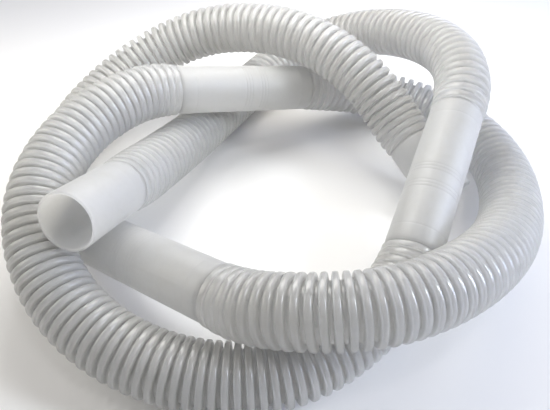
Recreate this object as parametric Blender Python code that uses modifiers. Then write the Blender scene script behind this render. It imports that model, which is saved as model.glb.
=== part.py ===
"""Corrugated vacuum hose for a swimming pool, lying in a loose knotted loop.

Metres, +Z up. The hose stands on z = 0, and the origin is under the middle of the loop.
It is one formed tube: a smooth end cuff at each end, and four corrugated lengths with a
smooth double cuff between each two. The lengths are followed from end cuff A, the free end.
The corrugated rings next to end cuff A are separate, because the free end flexes in the
grooves between them.
"""

import math

import bpy
import numpy as np
from mathutils import Matrix, Vector

MM = 0.001

# Sections
CREST_RADIUS = 23.3 * MM
CUFF_RADIUS = 21.0 * MM
CUFF_WALL = 2.0 * MM
RING_PITCH = 7.0 * MM
RIM_ROUND = 0.4 * MM

# Fits and flexing gaps
TOUCH_GAP = 0.3 * MM
FLEX_GAP = 2.2 * MM
RING_CHAMFER = 0.8 * MM

# Separate rings at the free end
TAIL_RINGS = 12

# Facets
TURN_STEPS = 32
TUBE_STEP = 24 * MM
TUBE_RESOLUTION = 4
LEAD = 8 * MM

# Each cuff is straight, from one end of its axis to the other, in millimetres
END_CUFF_A = [(-117, -68, 69), (-135, -128, 94)]
DOUBLE_CUFF_1 = [(149, 1, 82.5), (96.5, -115, 44.5)]
DOUBLE_CUFF_2 = [(-89, 44, 82), (27, 97, 50)]
DOUBLE_CUFF_3 = [(-39.5, -158, 57), (-142.5, -85, 30.7)]
END_CUFF_B = [(120.5, 13.5, 44), (148.5, -32.5, 22)]

# Points that each corrugated length passes between its two cuffs, in millimetres
ROUTE_1 = [(-98.5, -11, 48), (-78, 43.5, 33), (-54, 96.5, 25), (-25, 146, 24), (14, 188, 32),
           (66, 195.5, 52), (111, 166, 74), (145, 119, 90), (162, 62, 95)]
ROUTE_2 = [(65, -157, 30), (16, -190, 24), (-44, -198, 24.5), (-102, -182, 31.5),
           (-149, -146, 46.5), (-172, -93, 69), (-164, -36, 83), (-132, 13, 89)]
ROUTE_3 = [(95, 115, 32), (151, 98, 25), (190, 53, 24), (200, -4, 28), (187, -61.5, 38),
           (159, -113.5, 54), (117.5, -155, 70), (64, -181, 77), (7, -180, 70.5)]
ROUTE_4 = [(-188, -31, 24), (-199, 30, 30), (-177, 87, 46), (-133, 127, 66), (-76, 140, 87),
           (-15, 127, 98), (40, 97, 96), (86, 58, 75)]

WHITE_WALL = ("hose_wall", (0.74, 0.75, 0.78), 0.42)
WHITE_CUFF = ("cuff_wall", (0.76, 0.77, 0.80), 0.34)


def clear_scene():
    for scene_object in list(bpy.data.objects):
        bpy.data.objects.remove(scene_object, do_unlink=True)


def plastic(name, colour, roughness):
    material = bpy.data.materials.get(name)
    if material is None:
        material = bpy.data.materials.new(name)
        material.use_nodes = True
        shader = material.node_tree.nodes["Principled BSDF"]
        shader.inputs["Base Color"].default_value = (*colour, 1)
        shader.inputs["Roughness"].default_value = roughness
        shader.inputs["Metallic"].default_value = 0
    return material


def points(list_mm):
    return np.array(list_mm, float) * MM


def unit(vector):
    return vector / np.linalg.norm(vector)


def smooth_curve(knots, start_direction, end_direction, samples=160):
    """A cubic spline with continuous curvature through the knots, and its two directions."""
    count = len(knots)
    spans = np.linalg.norm(np.diff(knots, axis=0), axis=1)
    system = np.eye(count)
    sides = np.zeros((count, 3))
    sides[0] = start_direction
    sides[-1] = end_direction
    for i in range(1, count - 1):
        before, after = spans[i - 1], spans[i]
        system[i, i - 1:i + 2] = after, 2 * (before + after), before
        sides[i] = 3 * (after * (knots[i] - knots[i - 1]) / before
                        + before * (knots[i + 1] - knots[i]) / after)
    slopes = np.linalg.solve(system, sides)
    u = np.linspace(0, 1, samples, endpoint=False)[:, None]
    runs = []
    for i, span in enumerate(spans):
        runs.append((2 * u**3 - 3 * u**2 + 1) * knots[i]
                    + (u**3 - 2 * u**2 + u) * span * slopes[i]
                    + (3 * u**2 - 2 * u**3) * knots[i + 1]
                    + (u**3 - u**2) * span * slopes[i + 1])
    return np.vstack(runs + [knots[-1:]])


def run_lengths(curve):
    return np.concatenate([[0], np.cumsum(np.linalg.norm(np.diff(curve, axis=0), axis=1))])


def at_length(curve, lengths):
    """Points of the curve at the given distances along it."""
    along = run_lengths(curve)
    return np.stack([np.interp(lengths, along, curve[:, axis]) for axis in range(3)], axis=-1)


def corrugated_axis(cuff_before, route, cuff_after):
    """Centreline between two cuffs, straight over a short lead where it leaves each."""
    leave = unit(cuff_before[1] - cuff_before[0])
    arrive = unit(cuff_after[1] - cuff_after[0])
    start = cuff_before[1] + TOUCH_GAP * leave
    end = cuff_after[0] - TOUCH_GAP * arrive
    knots = np.vstack([[start + LEAD * leave], route, [end - LEAD * arrive]])
    curve = smooth_curve(knots, leave, arrive)
    return np.vstack([[start], curve, [end]])


def axis_frame(origin, direction):
    """Placement whose Z runs along the given direction."""
    turn = Vector(direction).to_track_quat("Z", "Y").to_matrix().to_4x4()
    return Matrix.Translation(Vector(origin)) @ turn


def turned(name, profile, finish, collection):
    """A closed profile in the XZ plane, turned round Z. It runs down its outer side."""
    mesh = bpy.data.meshes.new(name)
    corners = [(radius, 0, height) for radius, height in profile]
    count = len(corners)
    if profile[0][0] == 0:
        edges = [(i, i + 1) for i in range(count - 1)]
    else:
        edges = [(i, (i + 1) % count) for i in range(count)]
    mesh.from_pydata(corners, edges, [])
    piece = bpy.data.objects.new(name, mesh)
    collection.objects.link(piece)
    screw = piece.modifiers.new("Turn", "SCREW")
    screw.steps = TURN_STEPS
    screw.render_steps = TURN_STEPS
    screw.use_merge_vertices = True
    screw.merge_threshold = 0.00005
    screw.use_smooth_shade = True
    mesh.materials.append(plastic(*finish))
    return piece


def cuff(name, back, front, collection):
    """An open tube with rounded rims, from its back to its front."""
    length = float(np.linalg.norm(front - back))
    inner = CUFF_RADIUS - CUFF_WALL
    edge = RIM_ROUND
    profile = [(CUFF_RADIUS, length - edge), (CUFF_RADIUS, edge), (CUFF_RADIUS - edge, 0),
               (inner + edge, 0), (inner, edge), (inner, length - edge),
               (inner + edge, length), (CUFF_RADIUS - edge, length)]
    piece = turned(name, profile, WHITE_CUFF, collection)
    piece.matrix_world = axis_frame(back, unit(front - back))
    return piece


def tail_ring(name, centre, direction, collection):
    """One ring of the corrugation, standing clear of the next by the flexing gap."""
    half = (RING_PITCH - FLEX_GAP) / 2
    shoulder = CREST_RADIUS - RING_CHAMFER
    profile = [(0, half), (shoulder, half), (CREST_RADIUS, half - RING_CHAMFER),
               (CREST_RADIUS, RING_CHAMFER - half), (shoulder, -half), (0, -half)]
    piece = turned(name, profile, WHITE_WALL, collection)
    piece.matrix_world = axis_frame(centre, direction)
    return piece


def corrugated_length(name, axis, collection):
    """A plain tube of the rings' outer diameter along the centreline."""
    total = run_lengths(axis)[-1]
    inside = np.linspace(LEAD, total - LEAD, round(total / TUBE_STEP))
    stations = at_length(axis, np.concatenate([[0], inside, [total]]))
    curve = bpy.data.curves.new(name, "CURVE")
    curve.dimensions = "3D"
    spline = curve.splines.new("POLY")
    spline.points.add(len(stations) - 1)
    for point, station in zip(spline.points, stations):
        point.co = (*station, 1)
    spline.use_smooth = True
    curve.bevel_depth = CREST_RADIUS
    curve.bevel_resolution = TUBE_RESOLUTION
    curve.use_fill_caps = True
    curve.materials.append(plastic(*WHITE_WALL))
    piece = bpy.data.objects.new(name, curve)
    collection.objects.link(piece)
    return piece


def free_end(cuff_a, axis, collection):
    """End cuff A and the separate rings behind it, numbered from the fixed side."""
    outward = unit(cuff_a[1] - cuff_a[0])
    cuff("end_cuff_a", cuff_a[0] + outward * FLEX_GAP / 2, cuff_a[1], collection)
    for place in range(TAIL_RINGS):
        middle = (place + 0.5) * RING_PITCH
        span = at_length(axis, [middle - RING_PITCH / 2, middle, middle + RING_PITCH / 2])
        tail_ring(f"tail_ring_{TAIL_RINGS - place}", span[1], unit(span[2] - span[0]),
                  collection)


def build():
    clear_scene()
    collection = bpy.data.collections.new("vacuum_hose")
    bpy.context.scene.collection.children.link(collection)

    cuff_a = points(END_CUFF_A)
    double_1 = points(DOUBLE_CUFF_1)
    double_2 = points(DOUBLE_CUFF_2)
    double_3 = points(DOUBLE_CUFF_3)
    cuff_b = points(END_CUFF_B)

    axis_1 = corrugated_axis(cuff_a[::-1], points(ROUTE_1), double_1)
    free_end(cuff_a, axis_1, collection)
    whole = run_lengths(axis_1)[-1]
    fixed = np.linspace(TAIL_RINGS * RING_PITCH + FLEX_GAP / 2, whole, 400)
    corrugated_length("corrugated_length_1", at_length(axis_1, fixed), collection)
    cuff("double_cuff_1", *double_1, collection)

    axis_2 = corrugated_axis(double_1, points(ROUTE_2), double_2)
    corrugated_length("corrugated_length_2", axis_2, collection)
    cuff("double_cuff_2", *double_2, collection)

    axis_3 = corrugated_axis(double_2, points(ROUTE_3), double_3)
    corrugated_length("corrugated_length_3", axis_3, collection)
    cuff("double_cuff_3", *double_3, collection)

    axis_4 = corrugated_axis(double_3, points(ROUTE_4), cuff_b)
    corrugated_length("corrugated_length_4", axis_4, collection)
    cuff("end_cuff_b", *cuff_b, collection)


build()
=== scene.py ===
"""Corrugated pool vacuum hose: the finished look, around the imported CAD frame.

Metres, +Z up, in the CAD frame. The hose is swept along one centreline from the mouth of end
cuff A to the mouth of end cuff B: smooth cuffs, and corrugated walls made ring by ring.
"""

import math

import bpy
import numpy as np
from mathutils import Matrix, Vector


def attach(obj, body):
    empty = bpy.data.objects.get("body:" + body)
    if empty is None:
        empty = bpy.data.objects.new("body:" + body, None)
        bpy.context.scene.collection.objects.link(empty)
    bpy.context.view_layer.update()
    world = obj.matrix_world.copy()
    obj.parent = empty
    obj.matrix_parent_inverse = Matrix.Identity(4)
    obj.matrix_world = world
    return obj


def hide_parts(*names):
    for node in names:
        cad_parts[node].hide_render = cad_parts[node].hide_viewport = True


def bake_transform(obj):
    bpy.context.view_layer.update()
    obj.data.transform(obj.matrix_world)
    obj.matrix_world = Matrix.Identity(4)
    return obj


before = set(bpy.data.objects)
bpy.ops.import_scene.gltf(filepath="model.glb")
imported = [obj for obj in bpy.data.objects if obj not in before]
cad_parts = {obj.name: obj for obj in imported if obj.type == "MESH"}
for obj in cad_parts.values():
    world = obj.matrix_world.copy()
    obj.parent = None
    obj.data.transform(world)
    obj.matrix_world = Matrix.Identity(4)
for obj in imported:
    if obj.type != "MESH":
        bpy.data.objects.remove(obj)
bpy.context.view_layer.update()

MM = 0.001

# Sections, as in the CAD
CREST_RADIUS = 23.3 * MM
ROOT_RADIUS = 18.4 * MM
CUFF_RADIUS = 21.0 * MM
CUFF_WALL = 2.0 * MM
RING_PITCH = 7.0 * MM
TOUCH_GAP = 0.3 * MM
LEAD = 8 * MM
TAIL_RINGS = 12

# The sheet that the rings are formed from, and at the plain pitch half the width of a ring's
# foot and of a groove
SHEET = 1.2 * MM
RING_HALF = 2.45 * MM
HALF_GROOVE = RING_PITCH / 2 - RING_HALF

# Fineness of the meshes
RING_SIDES = 64
CUFF_SIDES = 128
SPAN_SAMPLES = 160
STATION_STEP = 0.5 * MM
TANGENT_WINDOW = 9
BEND_WINDOW = 41

# The route, as in the CAD, in millimetres
END_CUFF_A = [(-117, -68, 69), (-135, -128, 94)]
DOUBLE_CUFF_1 = [(149, 1, 82.5), (96.5, -115, 44.5)]
DOUBLE_CUFF_2 = [(-89, 44, 82), (27, 97, 50)]
DOUBLE_CUFF_3 = [(-39.5, -158, 57), (-142.5, -85, 30.7)]
END_CUFF_B = [(120.5, 13.5, 44), (148.5, -32.5, 22)]
ROUTE_1 = [(-98.5, -11, 48), (-78, 43.5, 33), (-54, 96.5, 25), (-25, 146, 24), (14, 188, 32),
           (66, 195.5, 52), (111, 166, 74), (145, 119, 90), (162, 62, 95)]
ROUTE_2 = [(65, -157, 30), (16, -190, 24), (-44, -198, 24.5), (-102, -182, 31.5),
           (-149, -146, 46.5), (-172, -93, 69), (-164, -36, 83), (-132, 13, 89)]
ROUTE_3 = [(95, 115, 32), (151, 98, 25), (190, 53, 24), (200, -4, 28), (187, -61.5, 38),
           (159, -113.5, 54), (117.5, -155, 70), (64, -181, 77), (7, -180, 70.5)]
ROUTE_4 = [(-188, -31, 24), (-199, 30, 30), (-177, 87, 46), (-133, 127, 66), (-76, 140, 87),
           (-15, 127, 98), (40, 97, 96), (86, 58, 75)]

rng = np.random.default_rng(38)


# ---------------------------------------------------------------- centreline


def points(list_mm):
    return np.array(list_mm, float) * MM


def unit(vectors):
    return vectors / np.linalg.norm(vectors, axis=-1, keepdims=True)


def smoothed(vectors, window):
    """Running mean of a row of vectors, over an odd number of samples."""
    reach = window // 2
    padded = np.pad(vectors, ((reach, reach), (0, 0)), mode="edge")
    weights = np.ones(window) / window
    return np.stack([np.convolve(padded[:, i], weights, "valid") for i in range(3)], axis=-1)


def smooth_curve(knots, start_direction, end_direction):
    """A cubic spline with continuous curvature through the knots, and its two directions."""
    count = len(knots)
    spans = np.linalg.norm(np.diff(knots, axis=0), axis=1)
    system = np.eye(count)
    sides = np.zeros((count, 3))
    sides[0] = start_direction
    sides[-1] = end_direction
    for i in range(1, count - 1):
        before, after = spans[i - 1], spans[i]
        system[i, i - 1:i + 2] = after, 2 * (before + after), before
        sides[i] = 3 * (after * (knots[i] - knots[i - 1]) / before
                        + before * (knots[i + 1] - knots[i]) / after)
    slopes = np.linalg.solve(system, sides)
    u = np.linspace(0, 1, SPAN_SAMPLES, endpoint=False)[:, None]
    runs = []
    for i, span in enumerate(spans):
        runs.append((2 * u**3 - 3 * u**2 + 1) * knots[i]
                    + (u**3 - 2 * u**2 + u) * span * slopes[i]
                    + (3 * u**2 - 2 * u**3) * knots[i + 1]
                    + (u**3 - u**2) * span * slopes[i + 1])
    return np.vstack(runs + [knots[-1:]])


def run_lengths(curve):
    return np.concatenate([[0], np.cumsum(np.linalg.norm(np.diff(curve, axis=0), axis=1))])


def corrugated_axis(cuff_before, route, cuff_after):
    """Centreline between two cuffs, straight over a short lead where it leaves each."""
    leave = unit(cuff_before[1] - cuff_before[0])
    arrive = unit(cuff_after[1] - cuff_after[0])
    start = cuff_before[1] + TOUCH_GAP * leave
    end = cuff_after[0] - TOUCH_GAP * arrive
    knots = np.vstack([[start + LEAD * leave], route, [end - LEAD * arrive]])
    curve = smooth_curve(knots, leave, arrive)
    return np.vstack([[start], curve, [end]])


class Centreline:
    """Runs of points joined end to end, with a frame that doesn't twist along them.

    A station is a distance along the line. marks holds the first and last station of each run.
    """

    def __init__(self, runs):
        self.marks = [0.0]
        curve = runs[0]
        for run in runs[1:]:
            self.marks.append(float(run_lengths(curve)[-1]))
            curve = np.vstack([curve, run])
            self.marks.append(float(run_lengths(curve)[-1] - run_lengths(run)[-1]))
        self.marks.append(float(run_lengths(curve)[-1]))
        along = run_lengths(curve)
        self.length = along[-1]
        self.stations = np.linspace(0, self.length, round(self.length / STATION_STEP) + 1)
        self.line = np.stack([np.interp(self.stations, along, curve[:, i]) for i in range(3)],
                             axis=-1)
        tangent = np.gradient(self.line, self.stations, axis=0)
        self.tangent = unit(smoothed(tangent, TANGENT_WINDOW))
        bend = np.gradient(self.tangent, self.stations, axis=0)
        self.bend = smoothed(bend, BEND_WINDOW)
        self.side = self.carry_side()

    def carry_side(self):
        side = unit(np.cross(self.tangent[0], (0, 0, 1)))
        sides = [side]
        for tangent in self.tangent[1:]:
            side = unit(side - tangent * float(side @ tangent))
            sides.append(side)
        return np.array(sides)

    def at(self, station, values):
        return np.array([np.interp(station, self.stations, values[:, i]) for i in range(3)])

    def centre(self, station):
        return self.at(station, self.line)

    def place(self, station):
        """Centre, direction, side, up and bend at a station."""
        tangent = unit(self.at(station, self.tangent))
        side = self.at(station, self.side)
        side = unit(side - tangent * float(side @ tangent))
        return (self.centre(station), tangent, side, np.cross(tangent, side),
                self.at(station, self.bend))


def hose_centreline():
    cuffs = [points(END_CUFF_A)[::-1], points(DOUBLE_CUFF_1), points(DOUBLE_CUFF_2),
             points(DOUBLE_CUFF_3), points(END_CUFF_B)]
    routes = [points(ROUTE_1), points(ROUTE_2), points(ROUTE_3), points(ROUTE_4)]
    runs = [cuffs[0]]
    for i, route in enumerate(routes):
        runs.append(corrugated_axis(cuffs[i], route, cuffs[i + 1]))
        runs.append(cuffs[i + 1])
    return Centreline(runs)


HOSE = hose_centreline()


def corrugated_span(number):
    """First and last station of corrugated length 1 to 4."""
    return HOSE.marks[4 * number - 2], HOSE.marks[4 * number - 1]


# ---------------------------------------------------------------- loops and shells

# A ring flattens a little where the hose bends: by this much per unit of curvature, up to a
# limit, and not at all where it is nearly straight
FLATTENING = 0.0012
MOST_FLATTENING = 0.02
STRAIGHT = 0.5


def spoke_angles(sides):
    return np.linspace(0, 2 * math.pi, sides, endpoint=False)


def circle(station, radius, sides, offset=0.0, flatten=True):
    """A ring of points round the centreline, offset along its direction at the station."""
    centre, tangent, side, up, bend = HOSE.place(station)
    angle = spoke_angles(sides)[:, None]
    spoke = np.cos(angle) * side + np.sin(angle) * up
    curvature = float(np.linalg.norm(bend))
    if flatten and curvature > STRAIGHT:
        inward = bend / curvature
        flat = min(MOST_FLATTENING, FLATTENING * curvature)
        lean = (spoke @ inward)[:, None]
        radius = radius * (1 + flat * (1 - 2 * lean**2))
    return centre + offset * tangent + radius * spoke


def shell_mesh(name, outer, inner, deep):
    """A closed shell from outer loops, start to end, and inner loops, start to end.

    deep says for each outer loop how far down in a groove it lies, from 0 to 1.
    """
    loops = np.array(list(outer) + list(inner)[::-1])
    count, sides, _ = loops.shape
    index = np.arange(count * sides).reshape(count, sides)
    following = np.roll(index, -1, axis=0)
    quads = np.stack([index, np.roll(index, -1, axis=1), np.roll(following, -1, axis=1),
                      following], axis=-1).reshape(-1, 4)
    mesh = bpy.data.meshes.new(name)
    mesh.vertices.add(count * sides)
    mesh.vertices.foreach_set("co", loops.reshape(-1))
    mesh.loops.add(quads.size)
    mesh.loops.foreach_set("vertex_index", quads.reshape(-1).astype(np.int32))
    mesh.polygons.add(len(quads))
    mesh.polygons.foreach_set("loop_start", np.arange(0, quads.size, 4, dtype=np.int32))
    mesh.update(calc_edges=True)
    mesh.validate()
    mesh.polygons.foreach_set("use_smooth", np.ones(len(quads), bool))
    # The materials mix a colour in by this depth; on the corrugated wall that colour is painted
    # light in the grooves
    layer = mesh.attributes.new("groove", "FLOAT", "POINT")
    values = np.repeat(np.array(list(deep) + [0.0] * len(inner)), sides)
    layer.data.foreach_set("value", values.astype(np.float32))
    piece = bpy.data.objects.new(name, mesh)
    bpy.context.scene.collection.objects.link(piece)
    return piece


# ---------------------------------------------------------------- the corrugated wall

# Ring pitch along each length, as shares of the length and millimetres. The rings stand
# closest in the near arcs and widest in the far and right arcs
PITCHES = {
    1: ((0, 7.0), (0.35, 7.8), (0.6, 8.4), (1, 8.2)),
    2: ((0, 7.0), (0.35, 7.1), (0.5, 7.4), (0.75, 7.1), (0.9, 6.7), (1, 6.4)),
    3: ((0, 8.4), (0.3, 8.7), (0.5, 8.3), (0.68, 7.1), (1, 7.0)),
    4: ((0, 8.0), (0.7, 8.0), (1, 7.6)),
}
PITCH_SAMPLES = 2000

# Crest and root radius in millimetres of the last rings before a cuff, the outermost first
RUN_OUT = ((22.0, 20.0), (22.7, 20.6), (23.1, 20.2), (23.3, 19.6), (23.3, 19.0))

# A ring's section, in steps of half its width
RING_STEPS = (-1, -0.97, -0.93, -0.86, -0.76, -0.62, -0.42, -0.15,
              0.15, 0.42, 0.62, 0.76, 0.86, 0.93, 0.97, 1)
SWELL_PLACE = (0, 0.15, 0.42, 0.62, 0.76, 0.86, 0.93, 0.97, 1)
SWELL_HEIGHT = (1, 1, 0.985, 0.95, 0.88, 0.75, 0.51, 0.24, 0)
INNER_FOOT = 0.8
INNER_STEPS = (-INNER_FOOT, -0.5, 0, 0.5, INNER_FOOT)

# A groove's floor, in steps of half its width. In millimetres, how deep its middle lies and how
# far it curves up
FLOOR_STEPS = (-0.5, 0, 0.5)
FLOOR_DIP = 0.25
FLOOR_RISE = 0.3

# Rings are made part rigid and part stretched with the bend, and differ slightly
RIGID_SHARE = 0.6
WIDENING_SHARE = 0.5
CREST_SPREAD = 0.05 * MM
TILT_SPREAD = 0.0015


def swell(step):
    """Height of a ring's section: steep flanks, rounded edges and a nearly flat crest."""
    return float(np.interp(abs(step), SWELL_PLACE, SWELL_HEIGHT))


class Corrugation:
    """The rings of one corrugated length, between the stations of its grooves."""

    def __init__(self, number):
        start, end = corrugated_span(number)
        tail = []
        if number == 1:
            tail = [start + RING_PITCH * i for i in range(TAIL_RINGS)]
            start = start + RING_PITCH * TAIL_RINGS
        share, pitch = np.array(PITCHES[number]).T
        fine = np.linspace(0, 1, PITCH_SAMPLES)
        rings = np.cumsum(1 / np.interp(fine, share, pitch)) * (end - start) / MM / PITCH_SAMPLES
        count = round(rings[-1])
        even = np.interp(np.linspace(rings[0], rings[-1], count + 1), rings, fine)
        self.grooves = np.array(tail + list(start + (end - start) * even))
        self.count = len(self.grooves) - 1
        self.crest = np.full(self.count, CREST_RADIUS)
        self.crest += rng.normal(0, CREST_SPREAD, self.count)
        self.root = np.full(self.count + 1, ROOT_RADIUS)
        self.tilt = rng.normal(0, TILT_SPREAD, (self.count, 2))
        for near, (crest, root) in enumerate(RUN_OUT):
            for ring in (near, self.count - 1 - near):
                self.crest[ring] = crest * MM
            for groove in (near, self.count - near):
                self.root[groove] = root * MM

    def middle(self, ring):
        return (self.grooves[ring] + self.grooves[ring + 1]) / 2

    def side_root(self, ring, step):
        """Root radius of the groove on the step's side of a ring."""
        return self.root[ring] if step < 0 else self.root[ring + 1]

    def radius(self, ring, step):
        root = self.side_root(ring, step)
        if step == 0:
            root = (self.root[ring] + self.root[ring + 1]) / 2
        return root + (self.crest[ring] - root) * swell(step)

    def half(self, ring):
        """Half a ring's width, which takes its share of a wider pitch."""
        pitch = self.grooves[ring + 1] - self.grooves[ring]
        return RING_HALF * (1 - WIDENING_SHARE + WIDENING_SHARE * pitch / RING_PITCH)

    def gap(self, groove):
        """Half the width of a groove's floor, between the feet of its two rings."""
        rings = (max(groove - 1, 0), min(groove, self.count - 1))
        return min((self.grooves[ring + 1] - self.grooves[ring]) / 2 - self.half(ring)
                   for ring in rings)

    def ring_loop(self, ring, step, radius):
        middle = self.middle(ring)
        stiff = circle(middle, radius, RING_SIDES, step * self.half(ring))
        swept = circle(middle + step * self.half(ring), radius, RING_SIDES)
        loop = RIGID_SHARE * stiff + (1 - RIGID_SHARE) * swept
        tangent = HOSE.place(middle)[1]
        angle = spoke_angles(RING_SIDES)[:, None]
        lean = self.tilt[ring, 0] * np.cos(angle) + self.tilt[ring, 1] * np.sin(angle)
        return loop + lean * radius * tangent

    def ring_outer(self, ring):
        loops = [self.ring_loop(ring, step, self.radius(ring, step)) for step in RING_STEPS]
        deep = [1 - swell(step) for step in RING_STEPS]
        return loops, deep

    def ring_inner(self, ring, steps):
        loops = []
        for step in steps:
            if abs(step) >= INNER_FOOT:
                radius = self.side_root(ring, step) - SHEET
            else:
                radius = self.radius(ring, step) - SHEET
            loops.append(self.ring_loop(ring, step, radius))
        return loops

    def groove_inner(self, groove):
        return circle(self.grooves[groove], self.root[groove] - SHEET, RING_SIDES)

    def floor_loops(self, groove, first=None, last=None):
        """Loops over a groove's rounded floor. The first and last groove give half of theirs."""
        loops = []
        for step in FLOOR_STEPS:
            if (step < 0 and groove == first) or (step > 0 and groove == last):
                continue
            radius = self.root[groove] - (FLOOR_DIP - FLOOR_RISE * step**2) * MM
            station = self.grooves[groove] + step * self.gap(groove)
            loops.append(circle(station, radius, RING_SIDES))
        return loops

    def wall(self, name, first, last, from_groove):
        """One shell from ring first to groove last. It starts in a groove, or at a ring's foot."""
        outer, deep, inner = [], [], []
        for ring in range(first, last):
            steps = INNER_STEPS
            if ring == first and from_groove:
                inner.append(self.groove_inner(ring))
            elif ring == first:
                steps = (-1,) + INNER_STEPS
            if ring > first or from_groove:
                floor = self.floor_loops(ring, first, last)
                outer += floor
                deep += [1.0] * len(floor)
            loops, depths = self.ring_outer(ring)
            outer += loops
            deep += depths
            inner += self.ring_inner(ring, steps)
        outer += self.floor_loops(last, first, last)
        deep += [1.0] * (len(outer) - len(deep))
        inner.append(self.groove_inner(last))
        return shell_mesh(name, outer, inner, deep)

    def single_ring(self, name, ring):
        outer, deep = self.ring_outer(ring)
        inner = self.ring_inner(ring, (-1,) + INNER_STEPS + (1,))
        return shell_mesh(name, outer, inner, deep)


# ---------------------------------------------------------------- cuffs

# Edges of a cuff in millimetres: distance from its end, and how far the edge is taken off.
# A rim is an open mouth's edge, a shoulder runs into a groove, and past them the cuff is plain
RIM = ((0.0, 0.75), (0.12, 0.4), (0.4, 0.12), (0.9, 0.0))
SHOULDER = ((0.0, 0.95), (0.9, 0.75), (1.5, 0.32), (2.5, 0.08))
PAST_EDGE = ((4.0, 0.0),)

# Where the bore narrows into the rings, and how deep a cut has to be to look like a groove
NECK_IN = 0.5 * MM
FULL_DEPTH = 0.9 * MM

# Loops down the plain part of a cuff, outside and in the bore
OUTER_MARGIN = 8 * MM
OUTER_STEP = 5 * MM
BORE_MARGINS = (6 * MM, 5 * MM)
BORE_STEP = 8 * MM

# A moulded cuff is not quite round, and has a faint seam along each side. A wave has a height,
# a number of lobes round the cuff and a twist along it
WAVES = ((0.05 * MM, 2, 30), (0.03 * MM, 3, -55))
SEAM_HEIGHT = 0.09 * MM
SEAM_WIDTH = 0.035

# The section of a fine line: its lip is a share of its depth, its sides reach a little past its
# half width, and plain loops keep clear of it
LINE_LIP = 0.15
LINE_REACH = 1.6
LINE_CLEAR = 2

# Lines cut round the double cuffs, with places in millimetres from a cuff's middle. The groups
# of lines are shifted by a different distance on each cuff
LINE_DEPTH = 0.38 * MM
LINE_HALF = 0.6 * MM
LINE_SPACING = 2.9
GROUP_OFFSET = 7.7
GROUP_SHIFTS = {1: 10, 2: 5, 3: 8}
STOP_OFFSET = 53
STOP_DEPTH = 0.2 * MM

# The line near the inner end of an end cuff
END_LINE_PLACE = 14 * MM
END_LINE_DEPTH = 0.08 * MM
END_LINE_HALF = 0.5 * MM


def edge(end, inward, shape, sense):
    """Stations and radius changes from one end of a cuff. The sense is -1 outside, 1 inside."""
    return [(end + inward * s * MM, sense * r * MM) for s, r in shape]


def cuff_profile(start, end, open_start, open_end, marks):
    """Stations and radii down the outside of a cuff, with its fine moulded lines."""
    head = edge(start, 1, (RIM if open_start else SHOULDER) + PAST_EDGE, -1)
    tail = edge(end, -1, (RIM if open_end else SHOULDER) + PAST_EDGE, -1)[::-1]
    body = [(s, 0) for s in np.arange(start + OUTER_MARGIN, end - OUTER_MARGIN, OUTER_STEP)
            if all(abs(s - mark) > LINE_CLEAR * half for mark, _, half in marks)]
    for mark, depth, half in marks:
        body += [(mark - LINE_REACH * half, 0), (mark - half, -LINE_LIP * depth),
                 (mark, -depth),
                 (mark + half, -LINE_LIP * depth), (mark + LINE_REACH * half, 0)]
    return [(s, CUFF_RADIUS + r) for s, r in head + sorted(body) + tail]


def cuff_piece(name, start, end, marks, open_start=False, open_end=False):
    """A hollow cuff. marks gives each fine line's station, depth and half width."""
    angle = spoke_angles(CUFF_SIDES)
    seam = SEAM_HEIGHT * np.exp(-(np.sin(angle) / SEAM_WIDTH)**2)
    outer, deep = [], []
    phases = rng.uniform(0, 2 * math.pi, len(WAVES))
    for station, radius in cuff_profile(start, end, open_start, open_end, marks):
        wave = sum(height * np.sin(lobes * angle + phase + twist * station)
                   for (height, lobes, twist), phase in zip(WAVES, phases))
        full = (radius + wave + seam)[:, None]
        outer.append(circle(station, full, CUFF_SIDES, flatten=False))
        deep.append(max(0.0, min(1.0, (CUFF_RADIUS - radius) / FULL_DEPTH)))
    lead_in = edge(start, 1, RIM, 1) if open_start else [(start, -NECK_IN)]
    lead_out = edge(end, -1, RIM[::-1], 1) if open_end else [(end, -NECK_IN)]
    plain = [(s, 0.0) for s in np.arange(start + BORE_MARGINS[0], end - BORE_MARGINS[1],
                                         BORE_STEP)]
    inner = []
    for station, extra in lead_in + plain + lead_out:
        bore = CUFF_RADIUS - CUFF_WALL + extra
        inner.append(circle(station, bore, CUFF_SIDES, flatten=False))
    return shell_mesh(name, outer, inner, deep)


def line_marks(start, end, shift):
    """Two groups of three fine lines near the middle, and a stop line near each end."""
    middle = (start + end) / 2
    marks = []
    for side in (-1, 1):
        for line in (-1, 0, 1):
            offset = shift + side * GROUP_OFFSET + line * LINE_SPACING
            marks.append((middle + offset * MM, LINE_DEPTH, LINE_HALF))
        marks.append((middle + side * STOP_OFFSET * MM, STOP_DEPTH, LINE_HALF))
    return sorted(marks)


# ---------------------------------------------------------------- materials

# Scale of each noise in the plastic and the floor, and how rough a noise is
FLOOR_TONE, MOTTLE, DUST, POLISH, GRAIN, SPECK = 3, 14, 55, 90, 260, 420
SOFT = 0.55
ROUGH = 0.65

# How much of the specks and the dust shows, and how much the polish varies
SPECK_SHARE = 0.08
SPECK_COLOUR = (0.95, 0.95, 0.95)
DUST_SHARE = 0.22
POLISH_SPREAD = 0.07

# The grain's bump, how light scatters inside the plastic, and how much more of it goes through
# the sheet in a groove
GRAIN_STRENGTH = 0.1
GRAIN_HEIGHT = 0.0004
SCATTER_DEPTH = 0.009
SCATTER_COLOUR = (1.0, 0.97, 0.92)
PLASTIC_IOR = 1.48
GROOVE_MILKY = 0.07

# Gloss of the skin, seen straight on and at a grazing angle, and how late it sets in
GLOSS_FACING = 0.065
GLOSS_GRAZING = 0.32
GLOSS_POWER = 4.0

BLACK = (0, 0, 0)
WHITE = (1, 1, 1)
GRIME = (0.70, 0.69, 0.65)


def new_material(name):
    material = bpy.data.materials.new(name)
    material.use_nodes = True
    return material, material.node_tree.nodes, material.node_tree.links


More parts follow.
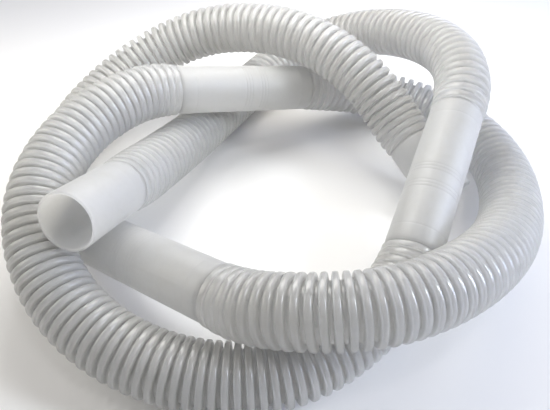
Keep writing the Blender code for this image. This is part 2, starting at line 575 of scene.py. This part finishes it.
def noise(nodes, links, coordinate, scale, detail, roughness=SOFT):
    node = nodes.new("ShaderNodeTexNoise")
    node.inputs["Scale"].default_value = scale
    node.inputs["Detail"].default_value = detail
    node.inputs["Roughness"].default_value = roughness
    links.new(coordinate, node.inputs["Vector"])
    return node.outputs["Fac"]


def ramp(nodes, links, factor, low, high):
    """Colour ramp between two stops, each a position and a colour."""
    node = nodes.new("ShaderNodeValToRGB")
    for element, (position, colour) in zip(node.color_ramp.elements, (low, high)):
        element.position = position
        element.color = (*colour, 1)
    links.new(factor, node.inputs["Fac"])
    return node.outputs["Color"]


def mix(nodes, links, factor, first, second):
    """Mix of two colours. Each value is a number, a colour or a socket."""
    node = nodes.new("ShaderNodeMix")
    node.data_type = "RGBA"
    for socket, value in ((node.inputs[0], factor), (node.inputs[6], first),
                          (node.inputs[7], second)):
        if isinstance(value, float):
            socket.default_value = value
        elif isinstance(value, tuple):
            socket.default_value = (*value, 1)
        else:
            links.new(value, socket)
    return node.outputs[2]


def calculate(nodes, links, operation, value, number):
    node = nodes.new("ShaderNodeMath")
    node.operation = operation
    links.new(value, node.inputs[0])
    node.inputs[1].default_value = number
    return node.outputs[0]


def map_range(nodes, links, value, low, high):
    node = nodes.new("ShaderNodeMapRange")
    node.inputs["To Min"].default_value = low
    node.inputs["To Max"].default_value = high
    links.new(value, node.inputs["Value"])
    return node.outputs["Result"]


def mix_shader(nodes, links, factor, first, second):
    node = nodes.new("ShaderNodeMixShader")
    for socket, value in zip(node.inputs, (factor, first, second)):
        links.new(value, socket)
    return node.outputs["Shader"]


def white_plastic(name, light, dark, deep, roughness, milky):
    """Milky white formed plastic, more see-through in its grooves, with soft mottling.

    deep is the colour taken on down the grooves. On the corrugated wall it is lighter than the
    crests: painted light, standing in for light let through the thin sheet. On the cuffs it is
    darker, in the cut lines and at the taken-off edges. milky is the share of light that goes
    through the sheet outside the grooves.
    """
    material, nodes, links = new_material(name)
    shader = nodes["Principled BSDF"]
    coordinate = nodes.new("ShaderNodeTexCoord").outputs["Object"]
    groove = nodes.new("ShaderNodeAttribute")
    groove.attribute_name = "groove"

    # Colour: mottling and specks, then the grooves' colour (painted light on the corrugated wall),
    # then dust
    body = ramp(nodes, links, noise(nodes, links, coordinate, MOTTLE, detail=4),
                (0.3, dark), (0.7, light))
    speck = ramp(nodes, links, noise(nodes, links, coordinate, SPECK, detail=2),
                 (0.35, dark), (0.65, SPECK_COLOUR))
    body = mix(nodes, links, SPECK_SHARE, body, speck)
    # Down the grooves the colour turns to deep: on the corrugated wall this is painted light,
    # lighter than the crests
    body = mix(nodes, links, groove.outputs["Fac"], body, deep)
    dust = ramp(nodes, links, noise(nodes, links, coordinate, DUST, detail=4, roughness=ROUGH),
                (0.48, BLACK), (0.75, WHITE))
    dust = calculate(nodes, links, "MULTIPLY", dust, DUST_SHARE)
    body = mix(nodes, links, dust, body, GRIME)

    # Surface: uneven polish and a fine grain
    polish = noise(nodes, links, coordinate, POLISH, detail=4, roughness=ROUGH)
    polish = map_range(nodes, links, polish, roughness - POLISH_SPREAD,
                       roughness + POLISH_SPREAD)
    bump = nodes.new("ShaderNodeBump")
    bump.inputs["Strength"].default_value = GRAIN_STRENGTH
    bump.inputs["Distance"].default_value = GRAIN_HEIGHT
    links.new(noise(nodes, links, coordinate, GRAIN, detail=4), bump.inputs["Height"])
    normal = bump.outputs["Normal"]

    # Light scattered inside the sheet, with no gloss of its own
    links.new(body, shader.inputs["Base Color"])
    links.new(polish, shader.inputs["Roughness"])
    links.new(normal, shader.inputs["Normal"])
    shader.inputs["Subsurface Weight"].default_value = 1.0
    shader.inputs["Subsurface Radius"].default_value = SCATTER_COLOUR
    shader.inputs["Subsurface Scale"].default_value = SCATTER_DEPTH
    shader.inputs["IOR"].default_value = PLASTIC_IOR
    shader.inputs["Specular IOR Level"].default_value = 0.0

    # Light that goes through it
    through = nodes.new("ShaderNodeBsdfTranslucent")
    links.new(body, through.inputs["Color"])
    links.new(normal, through.inputs["Normal"])
    share = map_range(nodes, links, groove.outputs["Fac"], milky, milky + GROOVE_MILKY)
    sheet = mix_shader(nodes, links, share, shader.outputs["BSDF"], through.outputs["BSDF"])

    # The glossy skin
    shine = nodes.new("ShaderNodeBsdfGlossy")
    shine.inputs["Color"].default_value = (*WHITE, 1)
    links.new(polish, shine.inputs["Roughness"])
    links.new(normal, shine.inputs["Normal"])
    facing = nodes.new("ShaderNodeLayerWeight")
    links.new(normal, facing.inputs["Normal"])
    steep = calculate(nodes, links, "POWER", facing.outputs["Facing"], GLOSS_POWER)
    gloss = map_range(nodes, links, steep, GLOSS_FACING, GLOSS_GRAZING)
    skin = mix_shader(nodes, links, gloss, sheet, shine.outputs["BSDF"])
    links.new(skin, nodes["Material Output"].inputs["Surface"])
    return material


# The wall's deep colour is painted light: its grooves and ring flanks are coloured lighter than
# the crests, as if lit through the thin sheet
WALL = white_plastic("corrugated_plastic", light=(0.88, 0.88, 0.875), dark=(0.84, 0.84, 0.835),
                     deep=(0.98, 0.98, 0.975), roughness=0.20, milky=0.92)
CUFF = white_plastic("cuff_plastic", light=(0.85, 0.85, 0.845), dark=(0.82, 0.82, 0.815),
                     deep=(0.80, 0.80, 0.80), roughness=0.5, milky=0.80)


def dress(piece, material):
    piece.data.materials.append(material)


# ---------------------------------------------------------------- pieces

FIXED = "lying_hose"
PATH_STEP = 12 * MM
FEWEST_PATH_POINTS = 12


def body_of_ring(ring):
    """Body of the tail's ring, counted from end cuff A. Past the tail the hose is fixed."""
    if ring < 0:
        return "free_cuff"
    if ring >= TAIL_RINGS:
        return FIXED
    return f"tail_ring_{TAIL_RINGS - ring}"


def path_between(start, end):
    count = max(FEWEST_PATH_POINTS, round((end - start) / PATH_STEP))
    return [HOSE.centre(station).tolist() for station in np.linspace(start, end, count)]


def make_walls():
    lengths = []
    for number in (1, 2, 3, 4):
        corrugation = Corrugation(number)
        first = TAIL_RINGS if number == 1 else 0
        wall = corrugation.wall(f"corrugated_wall_{number}", first, corrugation.count,
                                from_groove=number != 1)
        dress(wall, WALL)
        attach(wall, FIXED)
        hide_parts(f"corrugated_length_{number}")
        start, end = corrugation.grooves[first], corrugation.grooves[-1]
        HOSE.centre(start).tolist()
        path_between(start, end)
        lengths.append(corrugation)
    return lengths


def make_tail(corrugation):
    for ring in range(TAIL_RINGS):
        number = TAIL_RINGS - ring
        piece = corrugation.single_ring(f"ring_wall_{number}", ring)
        dress(piece, WALL)
        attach(piece, body_of_ring(ring))
        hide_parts(f"tail_ring_{number}")
    for groove in range(TAIL_RINGS + 1):
        make_groove(corrugation, groove)


def make_groove(corrugation, groove):
    """The thin floor between two rings."""
    station = corrugation.grooves[groove]
    root = corrugation.root[groove]

    def foot_before(radius):
        if groove == 0:
            return circle(station - HALF_GROOVE, radius, RING_SIDES)
        return corrugation.ring_loop(groove - 1, 1, radius)

    def foot_after(radius):
        return corrugation.ring_loop(groove, -1, radius)

    outer = [foot_before(root)] + corrugation.floor_loops(groove) + [foot_after(root)]
    inner = [foot_before(root - SHEET), corrugation.groove_inner(groove),
             foot_after(root - SHEET)]
    piece = shell_mesh(f"groove_wall_{TAIL_RINGS + 1 - groove}", outer, inner,
                       [1.0] * len(outer))
    dress(piece, WALL)
    start = HOSE.centre(station + HALF_GROOVE).tolist()
    end = HOSE.centre(station - HALF_GROOVE).tolist()
    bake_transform(piece)


def make_cuffs(corrugations):
    end = corrugations[0].grooves[0]
    free = cuff_piece("end_cuff_a_wall", 0.0, end - HALF_GROOVE,
                      [(end - END_LINE_PLACE, END_LINE_DEPTH, END_LINE_HALF)],
                      open_start=True)
    dress(free, CUFF)
    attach(free, "free_cuff")
    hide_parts("end_cuff_a")
    for number, shift in GROUP_SHIFTS.items():
        start = corrugations[number - 1].grooves[-1]
        end = corrugations[number].grooves[0]
        piece = cuff_piece(f"double_cuff_wall_{number}", start, end,
                           line_marks(start, end, shift))
        dress(piece, CUFF)
        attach(piece, FIXED)
        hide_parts(f"double_cuff_{number}")
    start = corrugations[3].grooves[-1]
    covered = cuff_piece("end_cuff_b_wall", start, HOSE.length,
                         [(start + END_LINE_PLACE, END_LINE_DEPTH, END_LINE_HALF)],
                         open_end=True)
    dress(covered, CUFF)
    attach(covered, FIXED)
    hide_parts("end_cuff_b")


# ---------------------------------------------------------------- stage, lights and camera

FLOOR_SIZE = 8
FLOOR_HEIGHT = -0.0004
FLOOR_DARK = (0.86, 0.86, 0.87)
FLOOR_LIGHT = (0.88, 0.88, 0.885)
FLOOR_ROUGHNESS = 0.85
STUDIO_COLOUR = (1.0, 0.985, 0.97)
STUDIO_STRENGTH = 0.36

LIGHT_AIM = (0.0, 0.0, 0.03)

LENS = 33.3
SENSOR_WIDTH = 36
CAMERA_PLACE = (-0.002, -0.349, 0.329)
CAMERA_TILT = math.radians(45)
CAMERA_ROLL = math.radians(-0.56)


def make_stage():
    material, nodes, links = new_material("floor_paper")
    shader = nodes["Principled BSDF"]
    coordinate = nodes.new("ShaderNodeTexCoord").outputs["Object"]
    tone = ramp(nodes, links, noise(nodes, links, coordinate, FLOOR_TONE, detail=2),
                (0.3, FLOOR_DARK), (0.7, FLOOR_LIGHT))
    links.new(tone, shader.inputs["Base Color"])
    shader.inputs["Roughness"].default_value = FLOOR_ROUGHNESS
    bpy.ops.mesh.primitive_plane_add(size=FLOOR_SIZE, location=(0, 0, FLOOR_HEIGHT))
    floor = bpy.context.object
    floor.name = "floor"
    floor.data.materials.append(material)
    world = bpy.data.worlds.new("studio")
    bpy.context.scene.world = world
    world.use_nodes = True
    background = world.node_tree.nodes["Background"]
    background.inputs["Color"].default_value = (*STUDIO_COLOUR, 1)
    background.inputs["Strength"].default_value = STUDIO_STRENGTH


def area_light(name, place, size, power, colour):
    data = bpy.data.lights.new(name, "AREA")
    data.shape = "RECTANGLE"
    data.size, data.size_y = size
    data.energy = power
    data.color = colour
    lamp = bpy.data.objects.new(name, data)
    bpy.context.scene.collection.objects.link(lamp)
    lamp.location = place
    aim = Vector(LIGHT_AIM) - Vector(place)
    lamp.rotation_euler = aim.to_track_quat("-Z", "Y").to_euler()


def make_lights():
    """Small warm lamps over the hose, and cool windows to its right."""
    area_light("lamp_left", (-0.6, 0.0, 0.36), (0.4, 0.4), 1.4, (1.0, 0.95, 0.84))
    area_light("lamp_middle", (-0.05, 0.15, 0.35), (0.3, 0.25), 1.25, (1.0, 1.0, 0.97))
    area_light("lamp_behind", (0.2, 0.3, 0.4), (0.4, 0.3), 0.7, (1.0, 0.88, 0.7))
    area_light("ceiling_lamp", (0.3, -0.3, 1.5), (0.15, 0.15), 1.7, (1.0, 0.97, 0.97))
    area_light("window_right", (1.8, -0.2, 0.6), (0.5, 0.9), 22, (0.68, 0.76, 1.0))
    area_light("window_right_high", (1.3, -0.2, 1.1), (0.3, 0.3), 9.5, (0.90, 0.95, 1.0))
    area_light("window_right_behind", (1.2, 1.0, 0.8), (1.0, 1.0), 4.5, (0.4, 0.55, 1.0))


def make_camera():
    data = bpy.data.cameras.new("camera")
    data.sensor_fit = "HORIZONTAL"
    data.sensor_width = SENSOR_WIDTH
    data.lens = LENS
    camera = bpy.data.objects.new("camera", data)
    bpy.context.scene.collection.objects.link(camera)
    turn = Matrix.Rotation(CAMERA_TILT, 4, "X") @ Matrix.Rotation(CAMERA_ROLL, 4, "Z")
    camera.matrix_world = Matrix.Translation(CAMERA_PLACE) @ turn
    bpy.context.scene.camera = camera
    bpy.context.scene.view_settings.view_transform = "Standard"


make_camera()
corrugations = make_walls()
make_tail(corrugations[0])
make_cuffs(corrugations)
make_stage()
make_lights()
